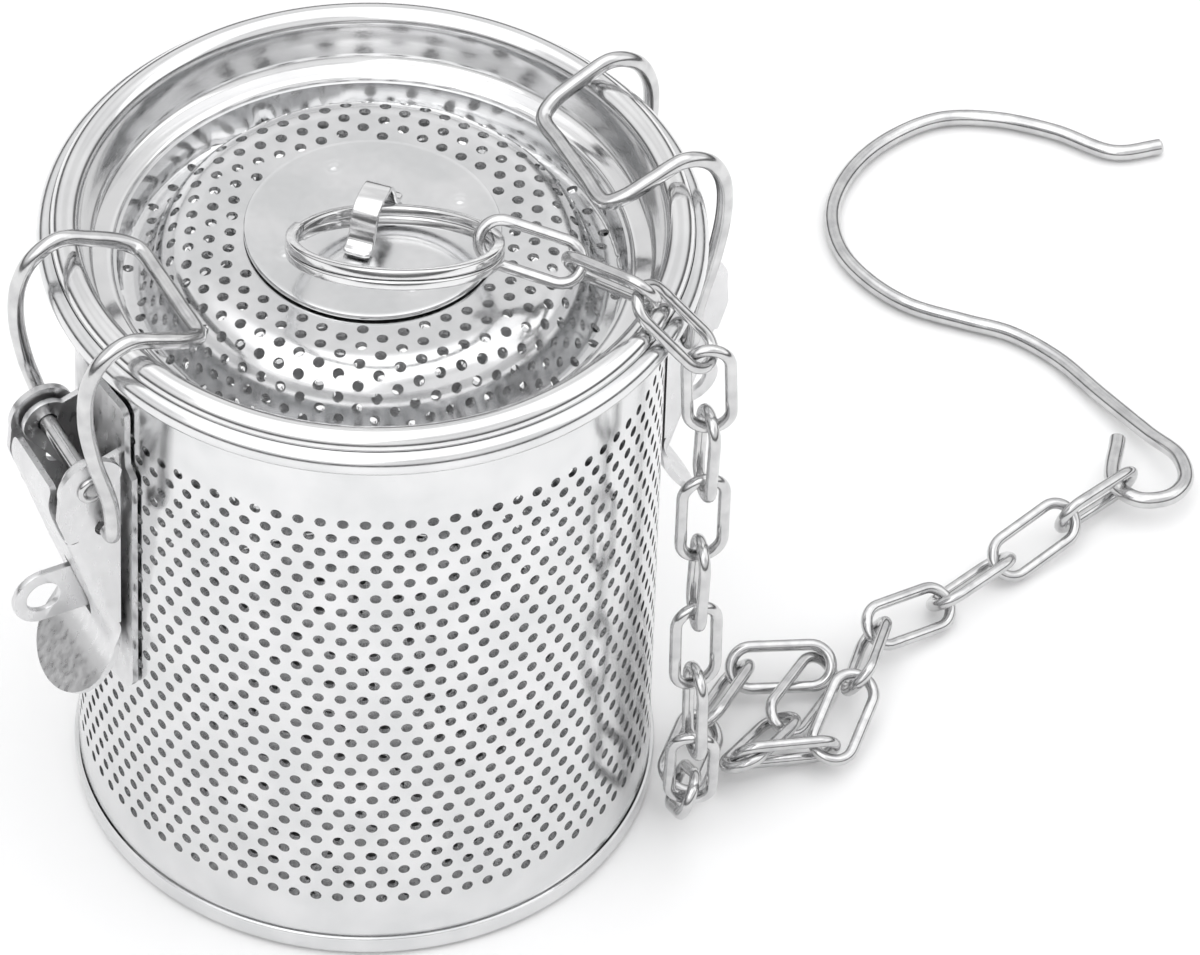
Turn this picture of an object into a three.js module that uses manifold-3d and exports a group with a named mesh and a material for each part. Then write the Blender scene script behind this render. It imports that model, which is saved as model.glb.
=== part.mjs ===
// Tea infuser: a perforated steel basket with a drop-in lid, two toggle latches that clamp the lid,
// and a chain with an S hook on the lid's split ring.
// Millimetres, +Z up. The origin is on the basket's axis, at the plane it stands on; the latches are on +X
// and -X.
import * as THREE from "three";
import { mergeVertices } from "three/addons/utils/BufferGeometryUtils.js";
import Module from "manifold-3d";

const wasm = await Module();
wasm.setup();

// ---- driving dimensions ----
const SHEET = 0.6; // wall of the basket and of the lid
const GAP = 0.3; // air between pieces that touch
const WALL_R = 33.7; // outside of the basket's wall
const BEAD_R = 36.6; // middle of the basket's rolled rim
const BEAD_Z = 83.4;
const BEAD_TUBE = 1.5;
const ROLL_R = 34.85; // middle of the lid's rolled rim
const ROLL_Z = 84.9;
const ROLL_TUBE = 1.7;
const LEDGE_Z = 80.6; // step inside the lid's rim
const WELL_R = 29.3; // inside of the lid's skirt
const SKIRT_Z = 74.6; // lower end of the lid's skirt
const DOME_TOP = 83.8; // top face of the perforated dome
const PLATE_R = 14.65;
const PLATE_T = 0.5;
const TURNS = 44; // facets round the basket and lid

const PIVOT = [38.4, 65.4]; // the latch lever's pivot: distance from the axis, and height
const BAIL_END = [36.8, 58.8]; // where the bail hangs in the lever
const BAR = [25.3, 84.8]; // the bail's crossbar when it is closed
const BAIL_WIRE = 1.9; // diameter
const BAIL_HALF = 9.25; // half the distance between a bail's legs
const BAR_HALF = 8.4; // half the length of its crossbar
const CHEEK_OUT = 7.0; // outside of the lever's cheeks, from its middle plane
const LATCH_SHEET = 0.8;

const LINK_LONG = 13.5; // outside length of a chain link
const LINK_WIDE = 6.4;
const LINK_WIRE = 1.4;
const LINK_PITCH = 10.35; // from one link's middle to the next
const HOOK_WIRE = 2.0;

const RING_R = 11.7; // split ring, middle of its wire
const RING_TILT = 25.7; // degrees
const RING_CENTRE = [-2.25, -10.1, 91.15];
const RING_WIRE = [1.3, 2.4]; // radial width and height of its two coils
const VIEW_TURN = -28.3; // degrees round Z from the ring's tilt plane to the latches' plane

const steel = (colour, roughness) =>
  new THREE.MeshStandardMaterial({ color: colour, roughness, metalness: 1 });

const group = new THREE.Group();

function put(name, geometry, material) {
  const mesh = new THREE.Mesh(geometry, material);
  mesh.name = name;
  group.add(mesh);
  return mesh;
}

// ---- shape helpers ----
const rad = THREE.MathUtils.degToRad;

// Points on an arc of radius r round [x, y], from angle a to b in degrees.
function arc(x, y, r, a, b, steps) {
  const points = [];
  for (let i = 0; i <= steps; i += 1) {
    const t = rad(a + ((b - a) * i) / steps);
    points.push([x + r * Math.cos(t), y + r * Math.sin(t)]);
  }
  return points;
}

// A closed outline of [radius, height] points turned round the Z axis.
function turned(outline, segments = TURNS) {
  const points = [...outline, outline[0]].map(([r, z]) => new THREE.Vector2(r, z));
  const geometry = new THREE.LatheGeometry(points, segments);
  geometry.rotateX(Math.PI / 2);
  return geometry;
}

function toSolid(geometry) {
  const bare = geometry.clone();
  bare.deleteAttribute("normal");
  bare.deleteAttribute("uv");
  const merged = mergeVertices(bare, 1e-4);
  const index = merged.index ? merged.index.array : merged.attributes.position.array.map((_, i) => i);
  return new wasm.Manifold(
    new wasm.Mesh({
      numProp: 3,
      vertProperties: new Float32Array(merged.attributes.position.array),
      triVerts: new Uint32Array(index),
    }),
  );
}

function toGeometry(solid) {
  const mesh = solid.getMesh();
  const geometry = new THREE.BufferGeometry();
  geometry.setAttribute("position", new THREE.BufferAttribute(new Float32Array(mesh.vertProperties), 3));
  geometry.setIndex(new THREE.BufferAttribute(new Uint32Array(mesh.triVerts), 1));
  return geometry;
}

function shapeOf(points, holes = []) {
  const shape = new THREE.Shape(points.map(([x, y]) => new THREE.Vector2(x, y)));
  for (const hole of holes) {
    shape.holes.push(new THREE.Path(hole.map(([x, y]) => new THREE.Vector2(x, y))));
  }
  return shape;
}

const circle = (x, y, r, sides = 16) => arc(x, y, r, 0, 360, sides).slice(0, -1);

// A flat plate: its outline is in [distance from the axis, height], its thickness runs along Y from y0 to y1.
function plateXZ(points, y0, y1, holes = []) {
  const geometry = new THREE.ExtrudeGeometry(shapeOf(points, holes), { depth: y1 - y0, bevelEnabled: false });
  geometry.rotateX(Math.PI / 2);
  geometry.translate(0, y1, 0);
  return geometry;
}

// Round wire of a given diameter along open points.
function wire(points, diameter, sides, steps) {
  const path = new THREE.CatmullRomCurve3(points.map((p) => new THREE.Vector3(...p)), false, "centripetal");
  const section = shapeOf(circle(0, 0, diameter / 2, sides));
  return new THREE.ExtrudeGeometry(section, { steps, extrudePath: path, bevelEnabled: false });
}

// ---- basket ----
// Where the rim's hollow seat, a clearance round the lid's roll, meets the bead.
const SEAT_R = ROLL_TUBE + GAP;
const WALL_IN = WALL_R - SHEET;
const wallOutline = [
  [WALL_IN, 3.0],
  [WALL_R, 3.0],
  [WALL_R, 79.4],
  [34.3, 80.6],
  [34.95, 81.55],
  ...arc(BEAD_R, BEAD_Z, BEAD_TUBE, -125, 68, 9),
  ...arc(ROLL_R, ROLL_Z, SEAT_R, -8, -76, 4),
  [34.5, 82.1],
  [33.75, 81.0],
  [WALL_IN, 79.8],
];
put("basket_wall", turned(wallOutline), steel(0xc9cbcd, 0.25));

// The bottom is a shallow cup crimped round the wall's lower end; its floor is a little above the foot ring.
const CUP_IN = WALL_R + 0.15;
const CUP_R = CUP_IN + 0.4;
const cupOutline = [
  [0, 1.2],
  [29.6, 1.2],
  [30.6, 0],
  [CUP_R - 1.2, 0],
  [CUP_R - 0.35, 0.4],
  [CUP_R, 1.3],
  [CUP_R, 2.9],
  [CUP_IN, 2.9],
  [CUP_IN, 2.4],
  [31.4, 2.4],
  [30.2, 1.9],
  [0, 1.9],
];
const cup = cupOutline.map(([r, z]) => new THREE.Vector2(r, z));
const cupGeometry = new THREE.LatheGeometry(cup, TURNS).rotateX(Math.PI / 2);
put("basket_bottom", cupGeometry, steel(0xc4c6c8, 0.3));

// ---- lid ----
const lidRing = [
  ...arc(ROLL_R, ROLL_Z, ROLL_TUBE, 228, 540, 12),
  [32.0, LEDGE_Z + 0.3],
  [31.7, LEDGE_Z],
  [WELL_R + 0.4, LEDGE_Z],
  [WELL_R, LEDGE_Z - 0.4],
  [WELL_R, SKIRT_Z],
  [WELL_R + SHEET, SKIRT_Z],
  [WELL_R + SHEET, LEDGE_Z - SHEET],
  [32.3, LEDGE_Z - SHEET],
  [32.65, LEDGE_Z - 0.2],
];
put("lid_ring", turned(lidRing), steel(0xd2d3d5, 0.18));

// The perforated insert: an upright rim inside the skirt, a flat gutter, and a dome that rises to the plate.
const DOME_RIM = WELL_R - GAP;
const domeOutline = [
  [0, DOME_TOP],
  [20.6, DOME_TOP],
  [22.6, DOME_TOP - 0.8],
  [24.3, DOME_TOP - 2.6],
  [25.6, 77.2],
  [26.6, 76.0],
  [DOME_RIM - SHEET - 0.3, 75.9],
  [DOME_RIM - SHEET, 76.2],
  [DOME_RIM - SHEET, 79.9],
  [DOME_RIM, 79.9],
  [DOME_RIM, 75.5],
  [DOME_RIM - 0.3, 75.3],
  [26.3, 75.4],
  [25.1, 76.9],
  [23.75, DOME_TOP - 2.9],
  [22.2, DOME_TOP - 1.3],
  [20.4, DOME_TOP - SHEET],
  [0, DOME_TOP - SHEET],
].reverse();
const dome = domeOutline.map(([r, z]) => new THREE.Vector2(r, z));
put("lid_dome", new THREE.LatheGeometry(dome, TURNS).rotateX(Math.PI / 2), steel(0xc9cacc, 0.25));

const plateBottom = DOME_TOP + GAP;
const plateTop = plateBottom + PLATE_T;
const plateGeometry = new THREE.CylinderGeometry(PLATE_R, PLATE_R, PLATE_T, 48).rotateX(Math.PI / 2);
plateGeometry.translate(0, 0, (plateBottom + plateTop) / 2);
put("lid_plate", plateGeometry, steel(0xd0d1d3, 0.3));

// The lug is a strap bent into a bridge over the plate's middle; the split ring runs under it.
const LUG_WIDE = 3.2;
const LUG_T = 0.7;
const LUG_SPAN = 5.4; // half the length over its feet
const LUG_RISE = 5.0;
const LUG_TURN = 43.3; // degrees from +X to the strap's length
const lugBase = plateTop + GAP;
const lugOutline = [
  [-LUG_SPAN, 0],
  [-LUG_SPAN, 0.8],
  [-4.0, 1.0],
  [-2.3, LUG_RISE - 0.5],
  [-1.5, LUG_RISE],
  [1.5, LUG_RISE],
  [2.3, LUG_RISE - 0.5],
  [4.0, 1.0],
  [LUG_SPAN, 0.8],
  [LUG_SPAN, 0],
  [3.5, 0],
  [1.75, LUG_RISE - LUG_T - 0.3],
  [1.2, LUG_RISE - LUG_T],
  [-1.2, LUG_RISE - LUG_T],
  [-1.75, LUG_RISE - LUG_T - 0.3],
  [-3.5, 0],
];
const lug = plateXZ(lugOutline, -LUG_WIDE / 2, LUG_WIDE / 2);
lug.rotateZ(rad(LUG_TURN));
lug.translate(0, 0, lugBase);
put("ring_lug", lug, steel(0xd6d7d8, 0.2));

// ---- split ring ----
const [ringWide, ringHigh] = RING_WIRE;
const ringSection = [
  [RING_R - ringWide / 2, -ringHigh / 2 + 0.3],
  [RING_R - ringWide / 2 + 0.3, -ringHigh / 2],
  [RING_R + ringWide / 2 - 0.3, -ringHigh / 2],
  [RING_R + ringWide / 2, -ringHigh / 2 + 0.3],
  [RING_R + ringWide / 2, ringHigh / 2 - 0.3],
  [RING_R + ringWide / 2 - 0.3, ringHigh / 2],
  [RING_R - ringWide / 2 + 0.3, ringHigh / 2],
  [RING_R - ringWide / 2, ringHigh / 2 - 0.3],
];
const splitRing = put("split_ring", turned(ringSection, 40), steel(0xbfc0c2, 0.2));
splitRing.position.set(...RING_CENTRE);
splitRing.quaternion.setFromAxisAngle(new THREE.Vector3(0, 0, 1), rad(VIEW_TURN));
splitRing.quaternion.multiply(
  new THREE.Quaternion().setFromAxisAngle(new THREE.Vector3(1, 0, 0), -rad(RING_TILT)),
);

// ---- latches ----
const [pivotR, pivotZ] = PIVOT;
const [endR, endZ] = BAIL_END;

// The base plate follows the basket's wall. Two ears carry the lever's pin, and a tab with an eye takes a
// padlock.
const PAD_IN = WALL_R + GAP;
const PAD_OUT = PAD_IN + LATCH_SHEET;
const PAD_LOW = 31.5;
const PAD_HIGH = 75.5;
const PAD_TURN = 13.2; // degrees each side
const EAR_IN = 4.9;
const EAR_OUT = EAR_IN + LATCH_SHEET;
const EYE = [41.6, 43.3];
const EYE_R = 3.7;
const EYE_HOLE = 2.1;

function latchBase() {
  const outside = arc(0, 0, PAD_OUT, -PAD_TURN, PAD_TURN, 6);
  const pad = shapeOf([...outside, ...arc(0, 0, PAD_IN, PAD_TURN, -PAD_TURN, 6)]);
  const padGeometry = new THREE.ExtrudeGeometry(pad, { depth: PAD_HIGH - PAD_LOW, bevelEnabled: false });
  padGeometry.translate(0, 0, PAD_LOW);
  const ear = [[34.3, 56.5], [35.6, 56.5], ...arc(pivotR, pivotZ, 3.0, -40, 130, 7), [34.3, 68.4]];
  const pinHole = [circle(pivotR, pivotZ, 1.15, 12)];
  const tab = [[34.5, EYE[1] - EYE_R], ...arc(...EYE, EYE_R, -90, 90, 8), [34.5, EYE[1] + EYE_R]];
  const pieces = [
    padGeometry,
    plateXZ(ear, EAR_IN, EAR_OUT, pinHole),
    plateXZ(ear, -EAR_OUT, -EAR_IN, pinHole),
    plateXZ(tab, -LATCH_SHEET / 2, LATCH_SHEET / 2, [circle(...EYE, EYE_HOLE, 14)]),
  ];
  return toGeometry(pieces.map(toSolid).reduce((a, b) => a.add(b)));
}

// The lever is a channel: a sloping web with a thumb tongue that flares out, and two cheeks on the pivot pin.
const WEB_TOP = [42.9, 62.6];
const WEB_LOW = [35.7, 39.0];
const TONGUE_TIP = [41.2, 29.8];
const CHEEK_IN = CHEEK_OUT - LATCH_SHEET;
const CHEEK_R = 4.0; // round top of a cheek; it just clears the base plate as the lever turns

// A strip of sheet of even thickness along [distance, height] points, thickened to one side.
function strip(points, thickness) {
  const far = points.map(([x, z], i) => {
    const [ax, az] = points[Math.max(i - 1, 0)];
    const [bx, bz] = points[Math.min(i + 1, points.length - 1)];
    const long = Math.hypot(bx - ax, bz - az);
    return [x + ((bz - az) / long) * thickness, z - ((bx - ax) / long) * thickness];
  });
  return [...points, ...far.reverse()];
}

function latchLever() {
  const web = [[42.8, 63.4], WEB_TOP, WEB_LOW, [36.0, 37.0], TONGUE_TIP];
  const webOutline = strip(web, LATCH_SHEET);
  const webGeometry = plateXZ(webOutline, -CHEEK_OUT, CHEEK_OUT);
  const cheek = [
    WEB_LOW,
    WEB_TOP,
    ...arc(pivotR, pivotZ, CHEEK_R, -5, 150, 8),
    [PAD_OUT + 0.1, 63.0],
    [PAD_OUT + 0.1, 42.0],
  ];
  const holes = [circle(pivotR, pivotZ, 1.35, 12), circle(endR, endZ, BAIL_WIRE / 2 + GAP, 12)];
  // The tongue's end is round.
  const [tipR, tipZ] = TONGUE_TIP;
  const across = [
    [-CHEEK_OUT, 80],
    [-CHEEK_OUT, tipZ + 5.2],
    ...arc(0, tipZ + 5.2, CHEEK_OUT, 180, 360, 12).map(([y, z]) => [y, tipZ + 5.2 + (z - tipZ - 5.2) * 0.86]),
    [CHEEK_OUT, 80],
  ];
  const trim = new THREE.ExtrudeGeometry(shapeOf(across), { depth: 30, bevelEnabled: false });
  trim.rotateX(Math.PI / 2);
  trim.rotateZ(Math.PI / 2);
  trim.translate(tipR - 15, 0, 0);
  const slot = new THREE.BoxGeometry(12, LATCH_SHEET + 2 * GAP, 9.4);
  slot.translate(38.0, 0, EYE[1]);
  const whole = [plateXZ(cheek, CHEEK_IN, CHEEK_OUT, holes), plateXZ(cheek, -CHEEK_OUT, -CHEEK_IN, holes)]
    .map(toSolid)
    .reduce((a, b) => a.add(b), toSolid(webGeometry));
  return toGeometry(whole.intersect(toSolid(trim)).subtract(toSolid(slot)));
}

// The pin ends just outside the cheeks.
function latchPin() {
  const outside = CHEEK_OUT + 0.35;
  const outline = [[0, -outside], [1.05, -outside], [1.05, outside], [0, outside]];
  const pin = new THREE.LatheGeometry(outline.map(([r, y]) => new THREE.Vector2(r, y)), 14);
  pin.translate(pivotR, 0, 0);
  return pin.translate(0, 0, pivotZ);
}

// The bail is one wire: from outside one cheek it rises past the rims, arches over them to the crossbar and
// returns to the other cheek.
function latchBail() {
  const [barR, barZ] = BAR;
  const half = [
    [endR, CHEEK_OUT + 0.6, endZ],
    [endR, CHEEK_OUT + 1.6, endZ],
    [endR + 0.1, BAIL_HALF - 0.1, endZ + 0.9],
    [endR + 0.4, BAIL_HALF, endZ + 5.6],
    [39.2, BAIL_HALF, 72.3],
    [40.2, BAIL_HALF, 79.0],
    [39.8, BAIL_HALF, 84.0],
    [38.0, BAIL_HALF, 87.3],
    [34.8, BAIL_HALF, 88.8],
    [30.8, BAIL_HALF - 0.1, 87.4],
    [barR + 1.9, BAR_HALF + 0.4, barZ + 0.9],
    [barR + 0.2, BAR_HALF - 0.7, barZ],
    [barR, 3, barZ],
  ];
  const back = half.map(([x, y, z]) => [x, -y, z]).reverse();
  return wire([...half, ...back], BAIL_WIRE, 6, 52);
}

const latchSteel = steel(0xb9babd, 0.35);
const wireSteel = steel(0xcfd0d2, 0.2);
for (const [side, turn] of [["left", Math.PI], ["right", 0]]) {
  const pieces = {
    latch_base: [latchBase(), latchSteel],
    lever: [latchLever(), latchSteel],
    pivot_pin: [latchPin(), wireSteel],
    bail: [latchBail(), wireSteel],
  };
  for (const [name, [geometry, material]] of Object.entries(pieces)) {
    put(`${name}_${side}`, geometry.rotateZ(turn), material);
  }
}

// ---- chain and hook ----
// The chain's route: off the split ring, over the lid's rim, straight down beside the basket, in a heap of
// three rows on the surface that the basket stands on, then out to the hook.
const HANG = [26.3, -32.5]; // where the chain hangs
const LYING_Z = 2.3; // middle of a link that lies down
const CROSS_Z = 5.0; // middle of a link that crosses over others
const ROUTE = [
  [8.9, -12.0, 89.5],
  [17.2, -19.6, 87.4],
  [21.6, -26.6, 90.2],
  [24.9, -30.6, 88.6],
  [...HANG, 80.0],
  [...HANG, 60.0],
  [...HANG, 40.0],
  [...HANG, 12.0],
  [28.0, -28.6, 4.0],
  [33.6, -19.8, LYING_Z],
  [39.0, -13.5, LYING_Z],
  [46.1, -11.6, LYING_Z],
  [53.2, -13.4, LYING_Z],
  [57.0, -17.4, LYING_Z],
  [50.0, -19.5, LYING_Z],
  [41.0, -21.5, LYING_Z],
  [36.5, -25.6, LYING_Z],
  [39.0, -29.4, LYING_Z],
  [46.0, -27.5, LYING_Z],
  [52.0, -22.4, CROSS_Z],
  [58.2, -15.0, CROSS_Z],
  [66.6, -10.6, LYING_Z],
  [77.7, -9.8, LYING_Z],
  [86.9, -6.6, LYING_Z],
  [96.5, -3.2, 3.6],
  [106.0, -1.8, 3.6],
];

// The hook is one wire, flat on the surface: an open bow to hang it by, an S bend, and a small eye for the
// chain. The eye stands a little higher, on the last link.
const BOW_Z = HOOK_WIRE / 2 + 0.1;
const EYE_Z = 3.65;
const HOOK_ROUTE = [
  [134.8, 49.5, BOW_Z], [129.1, 51.0, BOW_Z], [124.2, 57.5, BOW_Z], [118.4, 62.8, BOW_Z], [112.1, 65.7, BOW_Z],
  [104.4, 65.1, BOW_Z], [97.6, 62.0, BOW_Z], [92.2, 56.6, BOW_Z], [89.9, 49.9, BOW_Z], [90.5, 43.5, BOW_Z],
  [93.0, 37.6, BOW_Z], [97.8, 32.2, BOW_Z], [101.9, 27.9, BOW_Z], [104.9, 21.8, BOW_Z], [106.6, 13.2, 1.5],
  [108.1, 4.3, 2.4], [108.9, -2.2, EYE_Z], [107.6, -6.0, EYE_Z], [104.6, -7.6, EYE_Z], [100.9, -6.4, EYE_Z],
  [99.6, -2.6, EYE_Z], [103.6, 3.8, EYE_Z],
];

// Joints between links, each a pitch from the last in a straight line.
function linkJoints(route, pitch) {
  const curve = new THREE.CatmullRomCurve3(route.map((p) => new THREE.Vector3(...p)), false, "centripetal");
  const joints = [curve.getPoint(0)];
  for (const p of curve.getSpacedPoints(4000)) {
    if (p.distanceTo(joints[joints.length - 1]) >= pitch) joints.push(p);
  }
  return joints;
}

// A link is a flat loop of wire: two straight sides and two round ends.
const LINK_END = (LINK_WIDE - LINK_WIRE) / 2;
const LINK_SIDE = (LINK_LONG - LINK_WIDE) / 2;
const linkLoop = (steps) =>
  [...arc(LINK_SIDE, 0, LINK_END, -90, 90, steps), ...arc(-LINK_SIDE, 0, LINK_END, 90, 270, steps)].map(
    ([x, y]) => new THREE.Vector3(x, y, 0),
  );

const linkPath = new THREE.CatmullRomCurve3(linkLoop(4), true, "centripetal");
const linkGeometry = () => new THREE.TubeGeometry(linkPath, 16, LINK_WIRE / 2, 5, true);

// Middle line of a link's wire, to measure the air between it and its surroundings.
const LINE_STEPS = 44;
const linkLine = linkPath.getSpacedPoints(LINE_STEPS).slice(1);

// A link's place: its middle, the direction of its length, and its roll about that. At roll 0 it lies flat,
// or faces out where it hangs.
const OUT = new THREE.Vector3(...HANG, 0).normalize();
function linkPlace({ middle, along, roll }) {
  const up = Math.abs(along.z) > 0.8 ? OUT : new THREE.Vector3(0, 0, 1);
  const side = new THREE.Vector3().crossVectors(up, along).normalize();
  const place = new THREE.Matrix4().makeBasis(along, side, new THREE.Vector3().crossVectors(along, side));
  place.multiply(new THREE.Matrix4().makeRotationX(rad(roll)));
  return place.setPosition(middle);
}

// How far a link is from where it can be: short of air to other links, into the basket, lid or surface, or
// pulled off its neighbours. Zero is a good place.
const LINK_AIR = 0.3;
const UNLINKED = 5;
splitRing.updateMatrix();
const intoRing = splitRing.matrix.clone().invert();
function ringDistance(point) {
  const p = point.clone().applyMatrix4(intoRing);
  const beside = Math.max(Math.abs(p.z) - (ringHigh - ringWide) / 2, 0);
  return Math.hypot(Math.hypot(p.x, p.y) - RING_R, beside) - ringWide / 2;
}
const short = (distance, wanted) => Math.max(0, wanted - distance) ** 2;
const hookEye = HOOK_ROUTE.slice(-10).map((p) => new THREE.Vector3(...p));
const hookLine = new THREE.CatmullRomCurve3(hookEye).getPoints(90);
const hookDistance = (p) => Math.min(...hookLine.map((q) => p.distanceTo(q))) - HOOK_WIRE / 2;

// True where b's wire passes through the loop of a an odd number of times.
function linked(a, b) {
  const intoA = linkPlace(a).invert();
  const line = b.line.map((p) => p.clone().applyMatrix4(intoA));
  let through = 0;
  line.forEach((p, i) => {
    const q = line[(i + 1) % line.length];
    if (p.z < 0 === q.z < 0) return;
    const at = p.clone().lerp(q, p.z / (p.z - q.z));
    if (Math.hypot(Math.max(Math.abs(at.x) - LINK_SIDE, 0), at.y) < LINK_END) through += 1;
  });
  return through % 2 === 1;
}
const tip = (link, sign) => link.middle.clone().addScaledVector(link.along, (sign * LINK_PITCH) / 2);
function settle(link) {
  link.line = linkLine.map((p) => p.clone().applyMatrix4(linkPlace(link)));
  return link;
}
function linkFault(link, i, chain) {
  let fault = 0;
  for (const p of link.line) {
    const r = Math.hypot(p.x, p.y);
    const reach = LINK_WIRE / 2 + LINK_AIR;
    fault += short(p.z, reach - 0.15);
    if (p.z < 80) fault += short(r, WALL_R + 0.9 + reach);
    fault += short(Math.hypot(r - BEAD_R, p.z - BEAD_Z), BEAD_TUBE + reach);
    fault += short(Math.hypot(r - ROLL_R, p.z - ROLL_Z), ROLL_TUBE + reach);
    if (r < WELL_R) fault += short(p.z, DOME_TOP + reach);
    if (r < WELL_R + 4) fault += short(p.z, LEDGE_Z + reach);
    if (i === 0) fault += 2 * short(ringDistance(p), reach);
    if (i === chain.length - 1) fault += 2 * short(hookDistance(p), reach);
  }
  for (let j = 0; j < chain.length; j += 1) {
    if (j === i || chain[j].middle.distanceTo(link.middle) > LINK_LONG) continue;
    let least = Infinity;
    for (const p of link.line) for (const q of chain[j].line) least = Math.min(least, p.distanceToSquared(q));
    fault += 4 * short(Math.sqrt(least), LINK_WIRE + LINK_AIR);
  }
  if (i > 0 && !linked(link, chain[i - 1])) fault += UNLINKED;
  if (i < chain.length - 1 && !linked(link, chain[i + 1])) fault += UNLINKED;
  const before = i > 0 ? tip(chain[i - 1], 1) : joints[0];
  const after = i < chain.length - 1 ? tip(chain[i + 1], -1) : joints[joints.length - 1];
  const slack = (other) => (chain.includes(other) ? 0.4 : 0.9);
  fault += short(-before.distanceTo(tip(link, -1)), -slack(chain[i - 1]));
  return fault + short(-after.distanceTo(tip(link, 1)), -slack(chain[i + 1]));
}

const wantedRoll = (i, count) => {
  if (i < 3) return [55, 90, 0][i];
  if (i === count - 1) return 90;
  return i % 2 ? 50 : -40;
};
const joints = linkJoints(ROUTE, LINK_PITCH);
const chain = joints.slice(1).map((to, i) =>
  settle({
    middle: new THREE.Vector3().addVectors(joints[i], to).multiplyScalar(0.5),
    along: new THREE.Vector3().subVectors(to, joints[i]).normalize(),
    roll: wantedRoll(i, joints.length - 1),
  }),
);

// Shakes the chain: each link that isn't in a good place tries small moves and keeps those that help.
let seed = 7;
function chance() {
  seed = (seed * 16807) % 2147483647;
  return seed / 2147483647 - 0.5;
}
const SHAKES = 600;
for (let shake = 0; shake < SHAKES; shake += 1) {
  const size = 1.6 * (1 - shake / SHAKES) + 0.15;
  for (let i = 0; i < chain.length; i += 1) {
    const fault = linkFault(chain[i], i, chain);
    if (fault < 1e-6) continue;
    const nudge = new THREE.Vector3(chance(), chance(), chance()).multiplyScalar(size);
    const swing = new THREE.Vector3(chance(), chance(), chance()).multiplyScalar(size * 0.3);
    const moved = settle({
      middle: chain[i].middle.clone().add(nudge),
      along: chain[i].along.clone().add(swing).normalize(),
      roll: chain[i].roll + chance() * 50 * size,
    });
    if (linkFault(moved, i, chain) < fault) chain[i] = moved;
  }
}
chain.forEach((link, i) => {
  const mesh = put(`chain_link_${String(i + 1).padStart(2, "0")}`, linkGeometry(), wireSteel);
  mesh.applyMatrix4(linkPlace(link));
});

put("hook", wire(HOOK_ROUTE, HOOK_WIRE, 6, 56), wireSteel);

export default group;
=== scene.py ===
import math

import bmesh
import bpy
import numpy as np
from mathutils import Matrix, Vector
from mathutils.geometry import delaunay_2d_cdt


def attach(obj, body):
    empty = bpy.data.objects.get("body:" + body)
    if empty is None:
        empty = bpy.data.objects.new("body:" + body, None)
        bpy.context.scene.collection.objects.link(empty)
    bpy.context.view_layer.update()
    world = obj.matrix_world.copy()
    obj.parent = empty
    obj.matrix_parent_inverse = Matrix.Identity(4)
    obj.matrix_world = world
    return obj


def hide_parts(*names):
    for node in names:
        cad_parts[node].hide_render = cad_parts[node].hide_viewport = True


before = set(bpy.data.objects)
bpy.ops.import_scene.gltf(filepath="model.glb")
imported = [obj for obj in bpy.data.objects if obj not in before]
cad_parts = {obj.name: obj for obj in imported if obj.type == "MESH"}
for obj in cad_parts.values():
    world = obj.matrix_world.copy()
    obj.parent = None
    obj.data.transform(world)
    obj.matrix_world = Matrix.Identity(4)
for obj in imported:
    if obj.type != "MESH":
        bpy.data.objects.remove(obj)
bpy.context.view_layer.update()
MM = 0.001  # the shapes below are in millimetres, in the part's own frame
TAU = 2 * math.pi

# ---------------------------------------------------------------- sizes
SHEET = 0.6
WALL_R = 33.7
BEAD_R, BEAD_Z, BEAD_TUBE = 36.6, 83.4, 1.5
ROLL_R, ROLL_Z, ROLL_TUBE = 34.85, 84.9, 1.7
LEDGE_Z = 80.6
WELL_R, SKIRT_Z = 29.3, 74.6
DOME_TOP = 83.8
PLATE_R = 14.65
PLATE_Z, PLATE_TOP = 84.1, 84.6
HOLE_R = 0.68  # radius of every hole
WALL_HOLES, WALL_ROWS = 83, 27
ROW_LOW, ROW_PITCH = 9.4, 2.35
DOME_PITCH = 2.65
RIM_JOIN_Z = 77.5  # where the rim takes over from the wall
PIVOT = (38.4, 65.4)
BAIL_END = (36.8, 58.8)
BAR = (25.3, 84.8)
BAIL_WIRE, BAIL_HALF, BAR_HALF = 1.9, 9.25, 8.4
CHEEK_OUT, LATCH_SHEET = 7.0, 0.8
LINK_LONG, LINK_WIDE, LINK_WIRE = 13.5, 6.4, 1.4
HOOK_WIRE = 2.0
RING_R, RING_TILT, RING_TURN = 11.7, 25.7, -28.3
RING_CENTRE = (-2.25, -10.1, 91.15)
LUG_Z, LUG_TURN = 84.9, 43.3


# ---------------------------------------------------------------- materials
TONE_FROM, TONE_TO = 0.35, 0.68  # the noise between which the tone changes
ROUGH_FROM, ROUGH_TO = 0.3, 0.7  # the noise between which the roughness changes
ROUGH_LEAST, ROUGH_MOST = 0.75, 1.3  # times a steel's own roughness
GRAIN_SCALE = 40.0
DENT_DEPTH, SCRATCH_DEPTH = 0.0004, 0.00005  # in metres


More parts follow.
